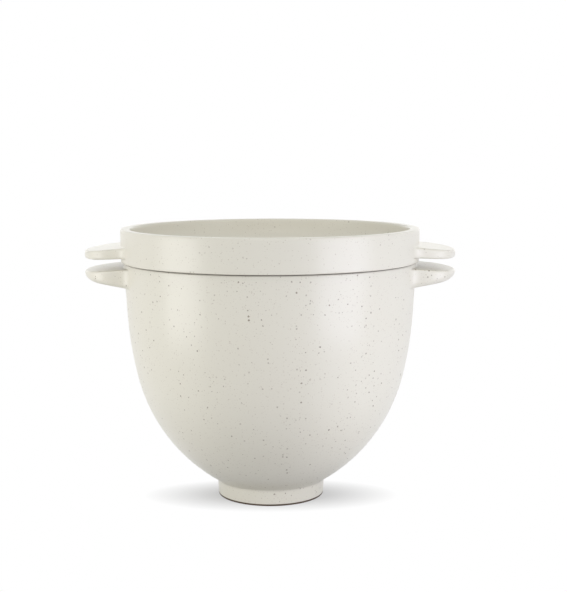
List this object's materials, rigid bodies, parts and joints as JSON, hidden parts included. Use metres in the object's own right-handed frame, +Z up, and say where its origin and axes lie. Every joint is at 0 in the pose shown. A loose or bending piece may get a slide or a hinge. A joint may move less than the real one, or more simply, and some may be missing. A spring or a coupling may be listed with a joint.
{
  "type": "stand mixer bowl with baking lid",
  "caption": "Glazed stoneware mixing bowl with a foot ring, twist-lock socket and tab handles, covered by a shallow baking dish that rests on its rim as a lid.",
  "frame": {"origin": "middle of the foot ring, on the surface that the bowl stands on", "axes": "+Z up the bowl's axis, X along the two pairs of handles, Y from front to back"},
  "size_m": [0.2932, 0.2359, 0.2154],
  "materials": {
    "speckled_glaze": "satin cream glaze with fine brown specks"
  },
  "bodies": {
    "root": {"mixing_bowl": "speckled_glaze", "baking_lid": "speckled_glaze"}
  },
  "joints": []
}
